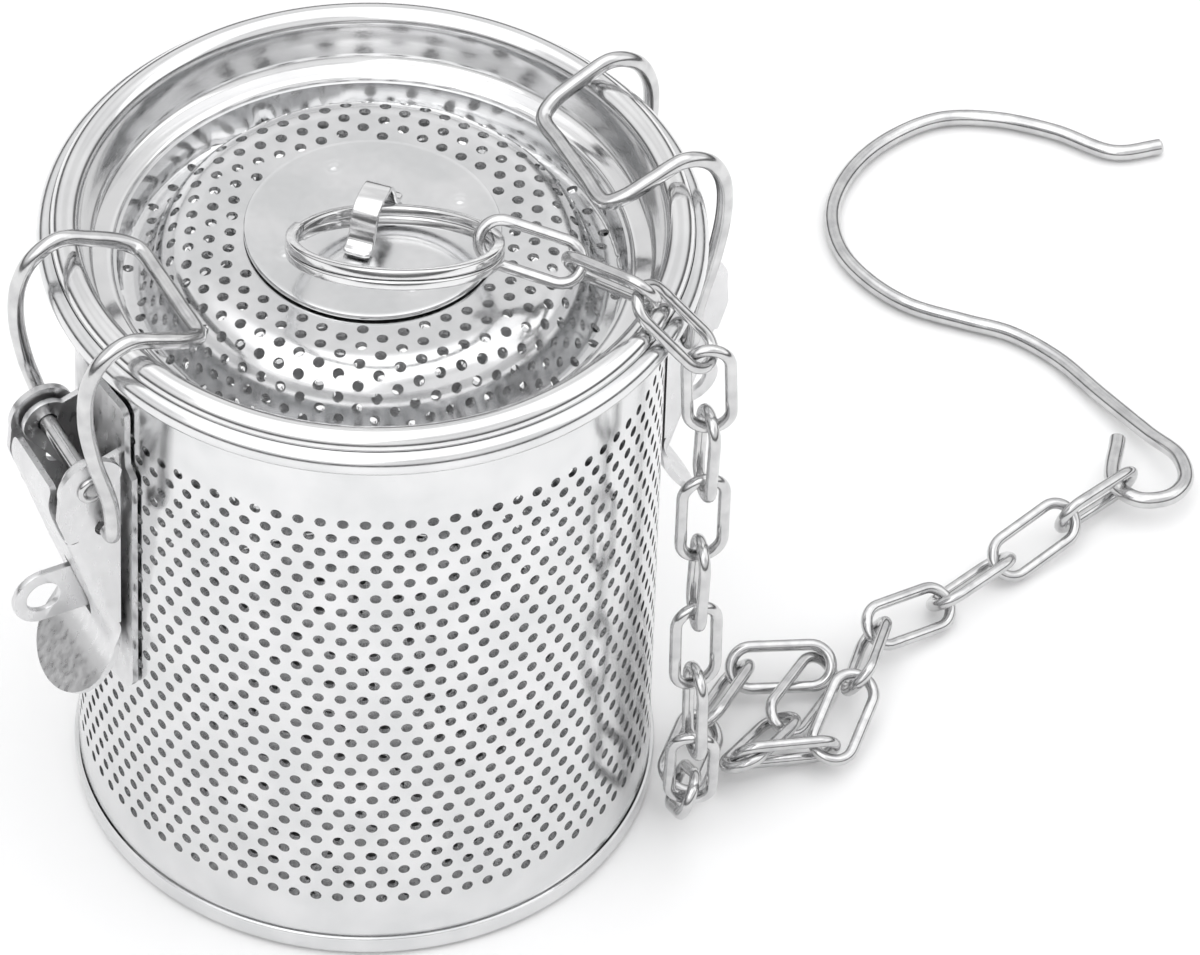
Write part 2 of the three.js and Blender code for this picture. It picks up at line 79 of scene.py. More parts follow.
def steel(name, light, dark, rough, grain, bump, mottle):
    """Stainless steel: slow changes of tone, a fine grain along one direction and small dents."""
    material = bpy.data.materials.new(name)
    material.use_nodes = True
    nodes, links = material.node_tree.nodes, material.node_tree.links
    shader = nodes["Principled BSDF"]
    shader.inputs["Metallic"].default_value = 1.0
    place = nodes.new("ShaderNodeTexCoord")

    def noise(scale, stretch=(1, 1, 1), detail=2.0):
        mapping = nodes.new("ShaderNodeMapping")
        mapping.inputs["Scale"].default_value = stretch
        texture = nodes.new("ShaderNodeTexNoise")
        texture.inputs["Scale"].default_value = scale
        texture.inputs["Detail"].default_value = detail
        links.new(place.outputs["Object"], mapping.inputs["Vector"])
        links.new(mapping.outputs["Vector"], texture.inputs["Vector"])
        return texture.outputs["Fac"]

    def tone(value):
        ramp = nodes.new("ShaderNodeValToRGB")
        low, high = ramp.color_ramp.elements[0], ramp.color_ramp.elements[1]
        low.position, low.color = TONE_FROM, (*dark, 1)
        high.position, high.color = TONE_TO, (*light, 1)
        links.new(value, ramp.inputs["Fac"])
        return ramp.outputs["Color"]

    def roughness(value):
        spread = nodes.new("ShaderNodeMapRange")
        spread.inputs["From Min"].default_value = ROUGH_FROM
        spread.inputs["From Max"].default_value = ROUGH_TO
        spread.inputs["To Min"].default_value = rough * ROUGH_LEAST
        spread.inputs["To Max"].default_value = rough * ROUGH_MOST
        links.new(value, spread.inputs["Value"])
        return spread.outputs["Result"]

    def relief(height, strength, depth):
        node = nodes.new("ShaderNodeBump")
        node.inputs["Strength"].default_value = strength
        node.inputs["Distance"].default_value = depth
        links.new(height, node.inputs["Height"])
        return node

    fine = noise(GRAIN_SCALE, grain)
    links.new(tone(noise(mottle, detail=3.0)), shader.inputs["Base Color"])
    links.new(roughness(fine), shader.inputs["Roughness"])
    dents = relief(noise(mottle * 0.6), bump, DENT_DEPTH)
    scratches = relief(fine, bump * 0.3, SCRATCH_DEPTH)
    links.new(dents.outputs["Normal"], scratches.inputs["Normal"])
    links.new(scratches.outputs["Normal"], shader.inputs["Normal"])
    return material


# light tone, dark tone, roughness, stretch of the grain, strength of the bumps, scale of the mottle
STEELS = {
    "sheet_steel": ((0.76, 0.76, 0.765), (0.68, 0.685, 0.69), 0.17, (30, 30, 2), 0.02, 150),
    "polished_steel": ((0.8, 0.8, 0.8), (0.72, 0.72, 0.725), 0.13, (20, 20, 60), 0.02, 120),
    "latch_steel": ((0.74, 0.74, 0.745), (0.67, 0.67, 0.675), 0.32, (30, 30, 12), 0.012, 160),
    "wire_steel": ((0.66, 0.66, 0.66), (0.52, 0.52, 0.525), 0.17, (90, 90, 90), 0.04, 400),
}
MATERIALS = {name: steel(name, *look) for name, look in STEELS.items()}


# ---------------------------------------------------------------- mesh helpers
def face_outwards(mesh):
    """Turns every face outwards and drops points that belong to no face."""
    shape = bmesh.new()
    shape.from_mesh(mesh)
    bmesh.ops.delete(shape, geom=[v for v in shape.verts if not v.link_faces], context="VERTS")
    bmesh.ops.recalc_face_normals(shape, faces=shape.faces)
    shape.to_mesh(mesh)
    shape.free()


SHARP_ANGLE = 38.0  # edges that turn more than this, in degrees, stay sharp


def piece(name, verts, faces, slot, body, nodes=(), turn=0.0, place=None):
    """A named piece from vertices in millimetres, on a CAD body, standing for the CAD nodes named."""
    mesh = bpy.data.meshes.new(name)
    verts = np.asarray(verts, float) * MM
    if turn:
        cos, sin = math.cos(turn), math.sin(turn)
        verts = verts @ np.array([[cos, sin, 0], [-sin, cos, 0], [0, 0, 1]])
    mesh.from_pydata(verts.tolist(), [], [list(map(int, f)) for f in faces])
    face_outwards(mesh)
    mesh.polygons.foreach_set("use_smooth", [True] * len(mesh.polygons))
    mesh.set_sharp_from_angle(angle=math.radians(SHARP_ANGLE))
    mesh.materials.append(MATERIALS[slot])
    obj = bpy.data.objects.new(name, mesh)
    bpy.context.scene.collection.objects.link(obj)
    if place is not None:
        obj.matrix_world = place
    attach(obj, body)
    if nodes:
        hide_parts(*nodes)
    return obj


BEVEL_WIDTH, BEVEL_STEPS, BEVEL_ANGLE = 0.12, 2, 35.0


def bevelled(obj):
    """Softens the sharp edges of a piece."""
    edge = obj.modifiers.new("edge", "BEVEL")
    edge.width = BEVEL_WIDTH * MM
    edge.segments = BEVEL_STEPS
    edge.limit_method = "ANGLE"
    edge.angle_limit = math.radians(BEVEL_ANGLE)
    edge.use_clamp_overlap = True
    obj.modifiers.new("normals", "WEIGHTED_NORMAL")


def joined(parts):
    """One list of vertices and faces from several."""
    verts, faces = [], []
    for v, f in parts:
        faces += [[i + len(verts) for i in face] for face in f]
        verts += [tuple(p) for p in v]
    return verts, faces


def arc(x, y, r, start, end, steps):
    """Points of an arc about (x, y); the angles are in degrees."""
    angles = np.radians(np.linspace(start, end, steps + 1))
    return [(x + r * math.cos(t), y + r * math.sin(t)) for t in angles]


def circle(x, y, r, sides=28):
    return arc(x, y, r, 0, 360, sides)[:-1]


def curve(points, per=8, closed=False):
    """A centripetal Catmull-Rom curve through the points."""
    pts = [np.array(p, float) for p in points]
    ends = (pts[-1], pts[0], pts[1]) if closed else (2 * pts[0] - pts[1], 2 * pts[-1] - pts[-2])
    chain = [ends[0], *pts, *ends[1:]]
    out = []
    for i in range(1, len(chain) - 2):
        p0, p1, p2, p3 = chain[i - 1:i + 3]
        t1 = max(np.linalg.norm(p1 - p0), 1e-6) ** 0.5
        t2 = t1 + max(np.linalg.norm(p2 - p1), 1e-6) ** 0.5
        t3 = t2 + max(np.linalg.norm(p3 - p2), 1e-6) ** 0.5
        for t in np.linspace(t1, t2, per, endpoint=False):
            a1 = (t1 - t) / t1 * p0 + t / t1 * p1
            a2 = (t2 - t) / (t2 - t1) * p1 + (t - t1) / (t2 - t1) * p2
            a3 = (t3 - t) / (t3 - t2) * p2 + (t - t2) / (t3 - t2) * p3
            b1 = (t2 - t) / t2 * a1 + t / t2 * a2
            b2 = (t3 - t) / (t3 - t1) * a2 + (t - t1) / (t3 - t1) * a3
            out.append((t2 - t) / (t2 - t1) * b1 + (t - t1) / (t2 - t1) * b2)
    if not closed:
        out.append(pts[-1])
    return out


def lathe(outline, segments=256):
    """A closed outline of (radius, height) points turned round Z."""
    verts, faces, rows = [], [], []
    for r, z in outline:
        if r < 1e-6:  # on the axis: one point for the whole row
            rows.append([len(verts)] * segments)
            verts.append((0, 0, z))
            continue
        rows.append(list(range(len(verts), len(verts) + segments)))
        for k in range(segments):
            a = TAU * k / segments
            verts.append((r * math.cos(a), r * math.sin(a), z))
    for i, low in enumerate(rows):
        high = rows[(i + 1) % len(rows)]
        for k in range(segments):
            face = [low[k], low[(k + 1) % segments], high[(k + 1) % segments], high[k]]
            face = list(dict.fromkeys(face))
            if len(face) > 2:
                faces.append(face)
    return verts, faces


def tangents_along(path, closed):
    """The direction of a path at each of its points."""
    count = len(path)
    tangents = []
    for i in range(count):
        before = path[i - 1] if closed or i else path[0]
        after = path[(i + 1) % count] if closed or i < count - 1 else path[-1]
        tangents.append((after - before) / np.linalg.norm(after - before))
    return tangents


def frames_along(tangents):
    """Two directions across the path at each of its points, carried along it without a twist."""
    side = np.cross(tangents[0], (0, 0, 1) if abs(tangents[0][2]) < 0.9 else (1, 0, 0))
    frames = []
    for t in tangents:
        side = side - t * np.dot(side, t)
        side /= np.linalg.norm(side)
        frames.append((side, np.cross(t, side)))
    return frames


def twist_left_over(tangents, frames):
    """The angle in radians by which a closed path's frames miss their start."""
    last = frames[-1][0] - tangents[0] * np.dot(frames[-1][0], tangents[0])
    return math.atan2(np.dot(last, frames[0][1]), np.dot(last, frames[0][0]))


CAP_SIZE, CAP_REACH = 0.72, 0.28  # the chamfer at a wire's end, as shares of its section


def end_cap(row, outwards, radius):
    """A smaller row of points just beyond the end of a wire."""
    base = np.array(row)
    middle = base.mean(0)
    return list(middle + (base - middle) * CAP_SIZE + outwards * radius * CAP_REACH)


def tube(points, radius, section, closed=False, swell=None):
    """A section, scaled by the radius, along a path. Open ends are closed with a small chamfer."""
    path = [np.array(p, float) for p in points]
    tangents = tangents_along(path, closed)
    frames = frames_along(tangents)
    twist = twist_left_over(tangents, frames) if closed else 0.0
    rows = []
    for i, (p, (side, up)) in enumerate(zip(path, frames)):
        along = i / len(path)
        cos, sin = math.cos(-twist * along), math.sin(-twist * along)
        scale = radius * (swell(along) if swell else 1.0)
        rows.append([p + scale * ((x * cos - y * sin) * side + (x * sin + y * cos) * up) for x, y in section])
    if not closed:
        rows = [end_cap(rows[0], -tangents[0], radius), *rows, end_cap(rows[-1], tangents[-1], radius)]
    verts = [tuple(p) for row in rows for p in row]
    sides, total = len(section), len(rows)
    faces = []
    for i in range(total if closed else total - 1):
        a, b = i * sides, ((i + 1) % total) * sides
        for k in range(sides):
            k2 = (k + 1) % sides
            faces.append([a + k, a + k2, b + k2, b + k])
    if not closed:
        faces.append(list(range(sides))[::-1])
        faces.append(list(range((total - 1) * sides, total * sides)))
    return verts, faces


def plate(outline, y0, y1, holes=()):
    """A flat plate: its outline in (distance from the axis, height), its thickness along Y."""
    loops = [list(outline), *map(list, holes)]
    flat, edges = [], []
    for loop in loops:
        start = len(flat)
        flat += [Vector(p) for p in loop]
        edges += [(start + i, start + (i + 1) % len(loop)) for i in range(len(loop))]
    points, _, triangles, origin, _, _ = delaunay_2d_cdt(flat, edges, [], 1, 1e-6)
    back = {src[0]: i for i, src in enumerate(origin) if src}

    def inside(p, loop):
        hit = False
        for (x1, z1), (x2, z2) in zip(loop, loop[1:] + loop[:1]):
            if (z1 > p[1]) != (z2 > p[1]) and p[0] < (x2 - x1) * (p[1] - z1) / (z2 - z1) + x1:
                hit = not hit
        return hit

    keep = []
    for tri in triangles:
        middle = sum((points[i] for i in tri), Vector((0, 0))) / 3
        if inside(middle, loops[0]) and not any(inside(middle, h) for h in loops[1:]):
            keep.append(tri)
    count = len(points)
    verts = [(p[0], y, p[1]) for y in (y0, y1) for p in points]
    faces = [list(t) for t in keep] + [[i + count for i in reversed(t)] for t in keep]
    for a, b in edges:
        a, b = back[a], back[b]
        faces.append([a, a + count, b + count, b])
    return verts, faces


def sheet_patch(outer, inner, cut=lambda i, j: False):
    """A closed sheet between two grids of points, rows by columns, without the cells that are cut."""
    rows, cols = len(outer) - 1, len(outer[0]) - 1
    verts = [tuple(p) for grid in (outer, inner) for row in grid for p in row]

    def at(layer, i, j):
        return (layer * (rows + 1) + i) * (cols + 1) + j

    def solid(i, j):
        return 0 <= i < rows and 0 <= j < cols and not cut(i, j)

    faces = []
    for i in range(rows):
        for j in range(cols):
            if not solid(i, j):
                continue
            corners = [(i, j), (i, j + 1), (i + 1, j + 1), (i + 1, j)]
            faces.append([at(0, *c) for c in corners])
            faces.append([at(1, *c) for c in reversed(corners)])
            for k, beside in enumerate([(i - 1, j), (i, j + 1), (i + 1, j), (i, j - 1)]):
                if not solid(*beside):
                    a, b = corners[k], corners[(k + 1) % 4]
                    faces.append([at(0, *b), at(0, *a), at(1, *a), at(1, *b)])
    return verts, faces


# ---------------------------------------------------------------- perforated sheets
WALL_ROUND = TAU * WALL_R
WALL_PITCH = WALL_ROUND / WALL_HOLES
CELL_SIDE = (ROW_PITCH ** 2 - WALL_PITCH ** 2 / 4) / (2 * ROW_PITCH)  # half a cell's upright side
CELL_TIP = ROW_PITCH - CELL_SIDE  # from a hole's centre to its cell's top and bottom corner
STOPS_LOW, STOPS_HIGH = (5.5, 3.0), (73.5, RIM_JOIN_Z)  # heights of the plain bands, from the holes outwards


def cell_outline():
    """The six corners of a hole's cell and the middles of its sides, about the hole's centre."""
    half = WALL_PITCH / 2
    corners = [(half, -CELL_SIDE), (half, CELL_SIDE), (0, CELL_TIP),
               (-half, CELL_SIDE), (-half, -CELL_SIDE), (0, -CELL_TIP)]
    outline = []
    for (x1, z1), (x2, z2) in zip(corners, corners[1:] + corners[:1]):
        outline += [(x1, z1), ((x1 + x2) / 2, (z1 + z2) / 2)]
    return outline


def wall_points():
    """A list for the wall's points, and a function that gives a point's place in it and adds it once."""
    verts, places = [], {}

    def point(u, z, layer):
        u %= WALL_ROUND
        key = (round(u, 3) % round(WALL_ROUND, 3), round(z, 3), layer)
        if key not in places:
            r = WALL_R - layer * SHEET
            a = u / WALL_R
            places[key] = len(verts)
            verts.append((r * math.cos(a), r * math.sin(a), z))
        return places[key]

    return verts, point


def hole_faces(point, outline, u, z):
    """One cell with its hole: its two skins and the side of the hole."""
    count = len(outline)
    faces, rims = [], []
    for layer in (0, 1):
        outer = [point(u + x, z + y, layer) for x, y in outline]
        angles = [math.atan2(y, x) for x, y in outline]
        rim = [point(u + HOLE_R * math.cos(a), z + HOLE_R * math.sin(a), layer) for a in angles]
        rims.append(rim)
        for i in range(count):
            j = (i + 1) % count
            face = [outer[i], outer[j], rim[j], rim[i]]
            faces.append(face if layer == 0 else face[::-1])
    for i in range(count):
        j = (i + 1) % count
        faces.append([rims[0][i], rims[0][j], rims[1][j], rims[1][i]])
    return faces


def band_faces(point, row, sign, stops):
    """A plain band, from the zigzag edge of a row of cells to the heights in stops."""
    between = -(CELL_SIDE + CELL_TIP) / 2
    edge = [(-WALL_PITCH / 2, -CELL_SIDE), (-WALL_PITCH / 4, between), (0, -CELL_TIP),
            (WALL_PITCH / 4, between)]
    start, z_row = 0.5 * (row % 2) * WALL_PITCH, ROW_LOW + row * ROW_PITCH
    line = [(start + k * WALL_PITCH + x, z_row + sign * y) for k in range(WALL_HOLES) for x, y in edge]
    faces = []
    for layer in (0, 1):
        rows = [[point(u, z, layer) for u, z in line]]
        rows += [[point(u, stop, layer) for u, _ in line] for stop in stops]
        for low, high in zip(rows, rows[1:]):
            for i in range(len(line)):
                j = (i + 1) % len(line)
                face = [low[i], low[j], high[j], high[i]]
                faces.append(face if (sign < 0) == (layer == 0) else face[::-1])
    return faces


def perforated_wall():
    """The wall: a cell with one hole, repeated in staggered rows, between two plain bands."""
    verts, point = wall_points()
    outline = cell_outline()
    faces = []
    for row in range(WALL_ROWS):
        for k in range(WALL_HOLES):
            u = (k + 0.5 * (row % 2)) * WALL_PITCH
            faces += hole_faces(point, outline, u, ROW_LOW + row * ROW_PITCH)
    faces += band_faces(point, 0, 1, STOPS_LOW)
    faces += band_faces(point, WALL_ROWS - 1, -1, STOPS_HIGH)
    return verts, faces


HOLE_SIDES, EDGE_SIDES = 12, 240
FINE_PITCH = DOME_PITCH / 5  # between the extra points where a sheet curves
EDGE_CLEAR, HOLE_CLEAR = 0.35, 0.22  # these points stay this far from the sheet's edge and its holes
CENTRE_CLEAR, BETWEEN_CLEAR = 0.8, 0.7  # and the pattern's own points this far from the edge


def curved_points(holes, bend, total):
    """Extra points clear of the holes, where the sheet curves from a length along it outwards."""
    if bend >= total:
        return []
    reach = int(total / FINE_PITCH) + 1
    steps = np.arange(-reach, reach + 1)
    i, j = np.meshgrid(steps, steps)
    x, y = (i + 0.5 * (j % 2)) * FINE_PITCH, j * FINE_PITCH * math.sqrt(3) / 2
    s = np.hypot(x, y)
    keep = (s > bend) & (s < total - EDGE_CLEAR)
    spots, centres = np.stack([x[keep], y[keep]], 1), np.array(holes)
    clear = [np.min(np.hypot(*(centres - p).T)) > HOLE_R + HOLE_CLEAR for p in spots]
    return spots[clear].tolist()


def flat_pattern(inner, outer, bend, total):
    """The sheet laid flat: its points, the edges of its rim and holes, and the holes' centres."""
    flat, edges, holes = [], [], []

    def loop(points):
        start = len(flat)
        flat.extend(Vector(p) for p in points)
        edges.extend((start + i, start + (i + 1) % len(points)) for i in range(len(points)))

    loop(circle(0, 0, total, EDGE_SIDES))
    reach = int(total / DOME_PITCH) + 2
    rise, third = DOME_PITCH * math.sqrt(3) / 2, DOME_PITCH * 0.577
    for j in range(-reach, reach + 1):
        for i in range(-reach, reach + 1):
            x, y = (i + 0.5 * (j % 2)) * DOME_PITCH, j * rise
            s = math.hypot(x, y)
            if inner < s < outer:
                holes.append((x, y))
                loop(circle(x, y, HOLE_R, HOLE_SIDES))
            elif s < min(total - CENTRE_CLEAR, bend):
                flat.append(Vector((x, y)))
            for middle in (y + third, y - third):  # between three holes
                if math.hypot(x, middle) < min(total - BETWEEN_CLEAR, bend):
                    flat.append(Vector((x, middle)))
    flat.extend(Vector(p) for p in curved_points(holes, bend, total))
    return flat, edges, holes


def drawn(points, path, lengths, thickness):
    """The flat sheet's points brought onto its profile: the outer skin's, then the inner skin's."""
    s = np.hypot(points[:, 0], points[:, 1])
    angle = np.arctan2(points[:, 1], points[:, 0])
    r, z = np.interp(s, lengths, path[:, 0]), np.interp(s, lengths, path[:, 1])
    step = 0.3
    dr = np.interp(s + step, lengths, path[:, 0]) - np.interp(s - step, lengths, path[:, 0])
    dz = np.interp(s + step, lengths, path[:, 1]) - np.interp(s - step, lengths, path[:, 1])
    size = np.maximum(np.hypot(dr, dz), 1e-9)
    skins = []
    for depth in (0.0, thickness):
        rr, zz = r + depth * dz / size, z - depth * dr / size
        skins.append(np.stack([rr * np.cos(angle), rr * np.sin(angle), zz], 1))
    return np.concatenate(skins)


def perforated_dome(profile, inner, outer, thickness, bend=math.inf):
    """A drawn sheet with a straight pattern of holes. profile is (radius, height) from the middle out.
    The holes lie between two lengths along it, and it curves beyond the length bend."""
    path = np.array(profile, float)
    lengths = np.r_[0, np.cumsum(np.hypot(*np.diff(path, axis=0).T))]
    flat, edges, holes = flat_pattern(inner, outer, bend, lengths[-1])
    points, _, triangles, origin, _, _ = delaunay_2d_cdt(flat, edges, [], 1, 1e-5)
    points = np.array([tuple(p) for p in points])
    triangles = np.array([t for t in triangles if len(t) == 3])
    across = points[triangles].mean(1)[:, None] - np.array(holes)[None]
    gap = np.min(np.hypot(across[:, :, 0], across[:, :, 1]), 1)
    triangles = triangles[gap > HOLE_R * 0.93]
    count = len(points)
    faces = [list(t) for t in triangles] + [[i + count for i in t[::-1]] for t in triangles]
    back = {source: i for i, sources in enumerate(origin) for source in sources}
    for a, b in edges:
        a, b = back[a], back[b]
        if a != b:
            faces.append([a, b, b + count, a + count])
    return drawn(points, path, lengths, thickness), faces


# ---------------------------------------------------------------- basket
WALL_IN = WALL_R - SHEET
piece("basket_wall_sheet", *perforated_wall(), "sheet_steel", "basket", ["basket_wall"])
rim_outline = [
    (WALL_IN, RIM_JOIN_Z), (WALL_R, RIM_JOIN_Z),
    *curve([(WALL_R, 79.2), (33.85, 80.0), (34.3, 80.7), (34.95, 81.5)], 5),
    *arc(BEAD_R, BEAD_Z, BEAD_TUBE, -125, 84, 28),
    *arc(ROLL_R, ROLL_Z, ROLL_TUBE + 0.08, 0, -76, 12),
    (34.5, 82.1), (33.75, 81.0), (WALL_IN, 79.8),
]
piece("basket_rim", *lathe(rim_outline), "sheet_steel", "basket")
cup_in = WALL_R + 0.15
cup_r = cup_in + 0.4
foot_outline = [
    (28.8, 1.2), (29.6, 1.15), (30.1, 0.75), (30.5, 0.2), (31.0, 0.0), (cup_r - 1.5, 0.0),
    *arc(cup_r - 1.3, 1.3, 1.3, -80, 0, 9),
    (cup_r, 2.6), (cup_r - 0.12, 2.85), (cup_in, 2.9), (cup_in, 2.4), (31.4, 2.4), (30.4, 1.95), (28.8, 1.9),
]
piece("basket_foot", *lathe(foot_outline), "sheet_steel", "basket", ["basket_bottom"])
floor_profile = [(x, 1.9) for x in np.linspace(0, 29.4, 40)]
piece("basket_floor", *perforated_dome(floor_profile, 0.0, 27.2, 0.7), "sheet_steel", "basket")

# ---------------------------------------------------------------- lid
lid_outline = [
    *arc(ROLL_R, ROLL_Z, ROLL_TUBE, 228, 540, 44),
    (33.05, 84.0), (32.75, 83.0), (32.3, 81.6), (32.05, LEDGE_Z + 0.35), (31.7, LEDGE_Z),
    (WELL_R + 0.9, LEDGE_Z), (WELL_R + 0.4, LEDGE_Z - 0.1), (WELL_R + 0.1, LEDGE_Z - 0.4),
    (WELL_R, LEDGE_Z - 0.8), (WELL_R, SKIRT_Z),
    (WELL_R + SHEET, SKIRT_Z), (WELL_R + SHEET, LEDGE_Z - SHEET), (32.3, LEDGE_Z - SHEET),
    (32.65, LEDGE_Z - 0.2),
]
piece("lid_rim", *lathe(lid_outline), "polished_steel", "lid", ["lid_ring"])
dome_profile = [
    *[(x, DOME_TOP) for x in np.linspace(0, 19.4, 20)],
    *curve([(20.0, DOME_TOP), (21.4, 83.5), (22.7, 82.85), (23.8, 81.7), (24.6, 80.2), (25.1, 78.6),
            (25.6, 77.2), (26.2, 76.3), (26.9, 75.95), (28.0, 75.9), (28.6, 76.1)], 4),
    (28.95, 77.0), (29.0, 79.9),
]
dome_profile = [tuple(map(float, p)) for p in dome_profile]
piece("lid_insert", *perforated_dome(dome_profile, PLATE_R + 1.1, 32.2, SHEET, bend=18.8),
      "sheet_steel", "lid", ["lid_dome"])

WELDS = [math.radians(LUG_TURN + 45 + 90 * k) for k in range(4)]
WELD_R = 0.74 * PLATE_R


def plate_height(x, y, z):
    """Four spot welds show as small dimples in the plate."""
    for a in WELDS:
        d = math.hypot(x - WELD_R * math.cos(a), y - WELD_R * math.sin(a))
        z += 0.14 * math.exp(-((d / 0.34) ** 2)) - 0.05 * math.exp(-(((d - 0.7) / 0.3) ** 2))
    return z


def lid_plate():
    """The disc on the dome, with a soft edge and its welds."""
    rings = [0, *np.linspace(0.5, PLATE_R - 0.35, 42), PLATE_R - 0.12, PLATE_R]
    drops = {len(rings) - 1: 0.22, len(rings) - 2: 0.05}
    outline = [(r, PLATE_TOP - drops.get(i, 0)) for i, r in enumerate(rings)]
    verts, faces = lathe([*outline, (PLATE_R, PLATE_Z), (0, PLATE_Z)], 200)
    verts = [(x, y, plate_height(x, y, z) if z > PLATE_TOP - 0.01 else z) for x, y, z in verts]
    return verts, [f[::-1] for f in faces]


piece("lid_cover_plate", *lid_plate(), "sheet_steel", "lid", ["lid_plate"])

# the lug: a strap bent into a bridge, welded down at both feet
LUG_HALF, LUG_THICK, LUG_EDGE = 1.6, 0.62, 0.2
lug_half = [(-5.3, 0.34), (-4.5, 0.4), (-3.85, 0.8), (-3.25, 2.0), (-2.6, 3.6), (-1.95, 4.4), (-1.1, 4.68)]
lug_line = [*lug_half, (0, 4.7), *((-x, z) for x, z in reversed(lug_half))]
lug_path = curve([(x, 0, z) for x, z in lug_line], 6)


def rounded_box(half_x, half_y, corner, steps=4):
    """The outline of a rectangle with round corners."""
    x, y = half_x - corner, half_y - corner
    return [p for cx, cy, a in ((x, y, 0), (-x, y, 90), (-x, -y, 180), (x, -y, 270))
            for p in arc(cx, cy, corner, a, a + 90, steps)]


lug_verts, lug_faces = tube(lug_path, 1.0, rounded_box(LUG_HALF, LUG_THICK / 2, LUG_EDGE))
lug_verts = [(x, y, z + LUG_Z) for x, y, z in lug_verts]
piece("lid_lug", lug_verts, lug_faces, "polished_steel", "lid", ["ring_lug"], turn=math.radians(LUG_TURN))

# ---------------------------------------------------------------- split ring
def split_ring():
    """Two turns of flattened wire; each end steps over to the other turn."""
    path = []
    for k in range(361):
        t = k / 360
        turn = math.radians(720 * t - 20 + 180)
        step = 0.5 - 0.5 * math.cos(math.pi * min(max((t - 0.44) / 0.12, 0), 1))
        path.append((RING_R * math.cos(turn), RING_R * math.sin(turn), 0.59 * (1 - 2 * step)))
    return tube(path, 1.0, rounded_box(0.65, 0.57, 0.27))


ring_place = (Matrix.Translation(Vector(RING_CENTRE) * MM)
              @ Matrix.Rotation(math.radians(RING_TURN), 4, "Z")
              @ Matrix.Rotation(-math.radians(RING_TILT), 4, "X"))
piece("key_ring", *split_ring(), "polished_steel", "split_ring", ["split_ring"], place=ring_place)

# ---------------------------------------------------------------- latches
pivot_r, pivot_z = PIVOT
end_r, end_z = BAIL_END
PAD_IN = WALL_R + 0.3
PAD_OUT = PAD_IN + LATCH_SHEET
EYE = (41.6, 43.3)
EYE_R, EYE_HOLE = 3.7, 2.1


PAD_ANGLE_R = 34.4  # radius by which widths on the pad become angles


def latch_pad():
    """The plate that follows the wall, with round corners. It is a little narrower behind the pin."""
    half, low, high, corner = 7.9, 31.5, 75.5, 1.6
    rise = [*(corner * (1 - math.cos(t)) for t in np.linspace(0, math.pi / 2, 8))]
    levels = [*(low + x for x in rise), *np.linspace(low + corner, high - corner, 30)[1:-1],
              *(high - x for x in reversed(rise))]
    outer, inner = [], []
    for z in levels:
        near = corner - min(z - low, high - z, corner)
        narrow = 1.3 * min(max((z - 65.5) / 1.5, 0), 1)
        reach = half - narrow - corner + math.sqrt(max(corner ** 2 - near ** 2, 0))
        for grid, r in ((outer, PAD_OUT), (inner, PAD_IN)):
            angles = [reach * t / PAD_ANGLE_R for t in np.linspace(-1, 1, 17)]
            grid.append([(r * math.cos(a), r * math.sin(a), z) for a in angles])
    return sheet_patch(outer, inner)


def latch_ears():
    """Two ears for the pin and a tab with an eye."""
    ear = [(34.3, 56.5), (35.6, 56.5), *arc(pivot_r, pivot_z, 3.0, -40, 130, 18), (34.3, 68.4)]
    tab = [(34.5, EYE[1] - EYE_R), *arc(*EYE, EYE_R, -90, 90, 22), (34.5, EYE[1] + EYE_R)]
    hole = [circle(pivot_r, pivot_z, 1.15)]
    return joined([plate(ear, 4.9, 5.7, hole), plate(ear, -5.7, -4.9, hole),
                   plate(tab, -0.4, 0.4, [circle(*EYE, EYE_HOLE)])])


# The lever is one sheet: a sloping web whose sides fold back into the cheeks, and a thumb tongue below.
# Its top is a flat tab, cut free of the cheeks by two slots with round ends.
WEB_LINE = np.array(curve([(42.55, 65.2), (42.9, 62.6), (40.5, 54.6), (38.1, 46.8), (35.9, 39.6),
                           (36.0, 37.4), (37.4, 34.8), (39.4, 32.2), (41.2, 29.8)], 12))
FOLD = 1.1  # outside radius of the fold between web and cheek
FOLD_FLAT = 0.35
TAB_HALF, TAB_LOW, SLOT_HALF = 5.0, 57.2, 0.65
TAB_CORNER = 0.9
TONGUE_LONG = 6.2
FLAT_BELOW, FLATTEN_OVER = 38.0, 3.5  # the folds open out flat towards this height
EYE_SLOT_HALF, EYE_SLOT_LOW, EYE_SLOT_HIGH = 0.86, 38.6, 48.0
JOINT_LOW = 42.4  # the cheeks end here


def web_profile():
    """Across the lever: (distance from its middle, depth behind the web) outside and inside the sheet."""
    flat = CHEEK_OUT - FOLD
    middle = [*np.linspace(0, 0.85, 3), *np.linspace(0.85, TAB_HALF, 8)[1:],
              *np.linspace(TAB_HALF, TAB_HALF + 2 * SLOT_HALF - 0.4, 6)[1:]]
    middle = [y for y in middle if y < flat]
    outside = [(y, 0.0) for y in middle] + [(flat + x, FOLD + d) for x, d in arc(0, 0, FOLD, -90, 0, 8)]
    inside = [(y, LATCH_SHEET) for y in middle]
    inside += [(flat + x, FOLD + d) for x, d in arc(0, 0, FOLD - LATCH_SHEET, -90, 0, 8)]
    outside.append((CHEEK_OUT, FOLD + FOLD_FLAT))
    inside.append((CHEEK_OUT - LATCH_SHEET, FOLD + FOLD_FLAT))
    return outside, inside


